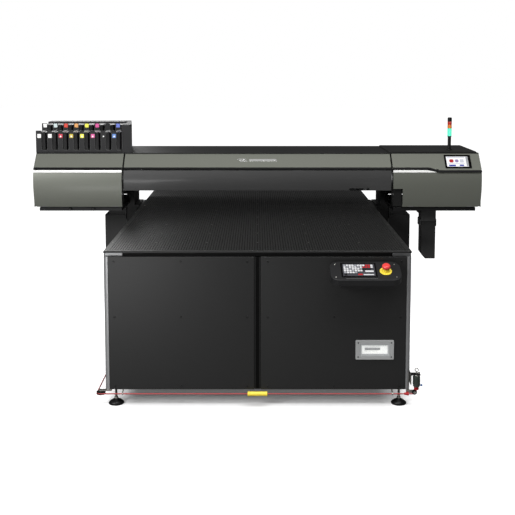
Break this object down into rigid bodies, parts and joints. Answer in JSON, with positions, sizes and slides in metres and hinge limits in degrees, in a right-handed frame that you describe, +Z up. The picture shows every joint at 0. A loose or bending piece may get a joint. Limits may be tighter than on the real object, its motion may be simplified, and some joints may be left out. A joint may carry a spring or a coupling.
{
  "type": "flatbed uv printer",
  "caption": "Flatbed UV printer: panelled cabinet with a perforated vacuum bed and a travelling gantry that carries the print head, ink station, touch screen and signal tower.",
  "frame": {"origin": "on the floor, under the middle of the whole machine's box", "axes": "+X to the operator's right, +Y away from the operator along the gantry's travel, +Z up"},
  "size_m": [2.8501, 3.2642, 1.34],
  "materials": {
    "frame_steel": "satin",
    "feet": "satin",
    "front_panel": "gloss",
    "side_panel": "satin",
    "post": "satin",
    "screw": "satin",
    "bed": "anodised",
    "air_box": "mill",
    "sheet_cabinet": "satin",
    "mains_knob": "gloss",
    "rail_steel": "ground",
    "belt": "matte",
    "pulley": "machined",
    "chain": "matte",
    "console": "satin",
    "keypad": "gloss",
    "estop_yellow": "satin",
    "estop_red": "gloss",
    "bezel": "satin",
    "breaker": "satin",
    "toggle": "satin",
    "flap": "clear",
    "rope": "sheathed",
    "sleeve": "satin",
    "rope_wheel": "satin",
    "rope_metal": "satin",
    "reset_blue": "gloss",
    "leg": "satin",
    "leg_cover": "satin",
    "beam": "anodised",
    "carriage": "anodised",
    "head": "satin",
    "print_head": "satin",
    "lamp": "anodised",
    "cap_rubber": "matte",
    "cover_grey": "metallic",
    "lid_black": "satin",
    "front_cover": "gloss",
    "tray": "satin",
    "door": "metallic",
    "screen": "gloss",
    "tower": "satin",
    "lens": "tinted",
    "rack": "satin",
    "bottle": "satin",
    "label": "satin",
    "waste_metal": "satin",
    "waste_plastic": "satin"
  },
  "bodies": {
    "base": {"base_frame": "frame_steel", "levelling_feet": "feet", "front_panel_left": "front_panel", "front_panel_right": "front_panel", "side_panels": "side_panel", "rear_panels": "side_panel", "corner_posts": "post", "panel_screws": "screw", "bed_plate": "bed", "bed_screws": "screw", "vacuum_box": "air_box", "electronics_cabinet": "sheet_cabinet", "y_rails": "rail_steel", "y_belts": "belt", "y_cable_chain": "chain", "console_housing": "console", "console_keypad": "keypad", "estop_collar": "estop_yellow", "breaker_bezel": "bezel", "breaker_unit": "breaker", "safety_rope": "rope", "rope_fittings": "sleeve", "rope_brackets": "rope_metal"},
    "mains_switch": {"mains_switch_knob": "mains_knob"},
    "y_shaft": {"y_drive_shaft": "pulley"},
    "y_idlers": {"y_idler_pulleys": "pulley"},
    "estop": {"estop_button": "estop_red"},
    "breaker_toggles": {"breaker_toggle": "toggle"},
    "breaker_flap": {"breaker_window": "flap"},
    "left_rope_wheel": {"rope_pulley_left": "rope_wheel"},
    "right_rope_wheel": {"rope_pulley_right": "rope_wheel"},
    "rope_reset": {"rope_switch_reset": "reset_blue"},
    "gantry": {"gantry_legs": "leg", "leg_covers": "leg_cover", "gantry_beam": "beam", "x_belt": "belt", "capping_station": "cap_rubber", "beam_upper_cover": "cover_grey", "top_lids": "lid_black", "beam_rear_cover": "lid_black", "left_housing": "cover_grey", "right_housing": "cover_grey", "drip_trays": "tray", "touch_screen": "screen", "signal_pole": "tower", "signal_lenses": "lens", "ink_rack": "rack", "ink_bottles": "bottle", "ink_labels": "label", "waste_bracket": "waste_metal"},
    "x_drive": {"x_drive_pulley": "pulley"},
    "x_idler": {"x_idler_pulley": "pulley"},
    "carriage": {"carriage_plate": "carriage"},
    "print_head": {"head_unit": "head", "print_heads": "print_head", "uv_lamps": "lamp"},
    "front_cover": {"beam_front_cover": "front_cover"},
    "left_door": {"left_door": "door"},
    "right_door": {"right_door": "door"},
    "waste_bottle": {"waste_bottle": "waste_plastic"}
  },
  "joints": [
    {"name": "gantry_travel", "type": "slide", "parent": "base", "child": "gantry", "axis": [0, 1, 0], "range_m": [-1.4, 1.02]},
    {"name": "y_shaft_spin", "type": "hinge", "parent": "base", "child": "y_shaft", "pos_m": [0, 1.4571, 0.642], "axis": [1, 0, 0], "continuous": true},
    {"name": "y_idler_spin", "type": "hinge", "parent": "base", "child": "y_idlers", "pos_m": [0, -1.4029, 0.642], "axis": [1, 0, 0], "continuous": true},
    {"name": "carriage_travel", "type": "slide", "parent": "gantry", "child": "carriage", "axis": [1, 0, 0], "range_m": [-2.25, 0]},
    {"name": "x_drive_spin", "type": "hinge", "parent": "gantry", "child": "x_drive", "pos_m": [-1.35, 0.2481, 0.99], "axis": [0, 1, 0], "continuous": true},
    {"name": "x_idler_spin", "type": "hinge", "parent": "gantry", "child": "x_idler", "pos_m": [1.35, 0.2481, 0.99], "axis": [0, 1, 0], "continuous": true},
    {"name": "head_lift", "type": "slide", "parent": "carriage", "child": "print_head", "axis": [0, 0, 1], "range_m": [-0.1, 0]},
    {"name": "left_door_hinge", "type": "hinge", "parent": "gantry", "child": "left_door", "pos_m": [-1.144, -0.1034, 0.784], "axis": [1, 0, 0], "range_deg": [0, 90]},
    {"name": "right_door_hinge", "type": "hinge", "parent": "gantry", "child": "right_door", "pos_m": [1.144, -0.1034, 0.784], "axis": [1, 0, 0], "range_deg": [0, 90]},
    {"name": "front_cover_hinge", "type": "hinge", "parent": "gantry", "child": "front_cover", "pos_m": [0, -0.0969, 1.014], "axis": [-1, 0, 0], "range_deg": [0, 80]},
    {"name": "estop_press", "type": "slide", "parent": "base", "child": "estop", "axis": [0, 0.4067, -0.9135], "range_m": [0, 0.006], "stiffness_N_per_m": 1000},
    {"name": "breaker_throw", "type": "hinge", "parent": "base", "child": "breaker_toggles", "pos_m": [0.566, -1.4739, 0.29], "axis": [1, 0, 0], "range_deg": [0, 60]},
    {"name": "breaker_flap_hinge", "type": "hinge", "parent": "base", "child": "breaker_flap", "pos_m": [0.575, -1.4859, 0.3165], "axis": [-1, 0, 0], "range_deg": [0, 110]},
    {"name": "left_rope_wheel_spin", "type": "hinge", "parent": "base", "child": "left_rope_wheel", "pos_m": [-0.773, -1.4709, 0.069], "axis": [0, 0, 1], "continuous": true},
    {"name": "right_rope_wheel_spin", "type": "hinge", "parent": "base", "child": "right_rope_wheel", "pos_m": [0.772, -1.4899, 0.078], "axis": [0, 1, 0], "continuous": true},
    {"name": "rope_reset_press", "type": "slide", "parent": "base", "child": "rope_reset", "axis": [-1, 0, 0], "range_m": [0, 0.002], "stiffness_N_per_m": 500},
    {"name": "mains_switch_turn", "type": "hinge", "parent": "base", "child": "mains_switch", "pos_m": [0.5, 1.6021, 0.42], "axis": [0, 1, 0], "range_deg": [0, 90]},
    {"name": "waste_bottle_slide", "type": "slide", "parent": "gantry", "child": "waste_bottle", "axis": [0, -1, 0], "range_m": [0, 0.1]}
  ],
  "couplings": [
    {"joint": "y_shaft_spin", "follows": "gantry_travel", "rad_per_m": -31.447},
    {"joint": "y_idler_spin", "follows": "gantry_travel", "rad_per_m": -31.447},
    {"joint": "x_drive_spin", "follows": "carriage_travel", "rad_per_m": 42.017},
    {"joint": "x_idler_spin", "follows": "carriage_travel", "rad_per_m": 42.017}
  ]
}
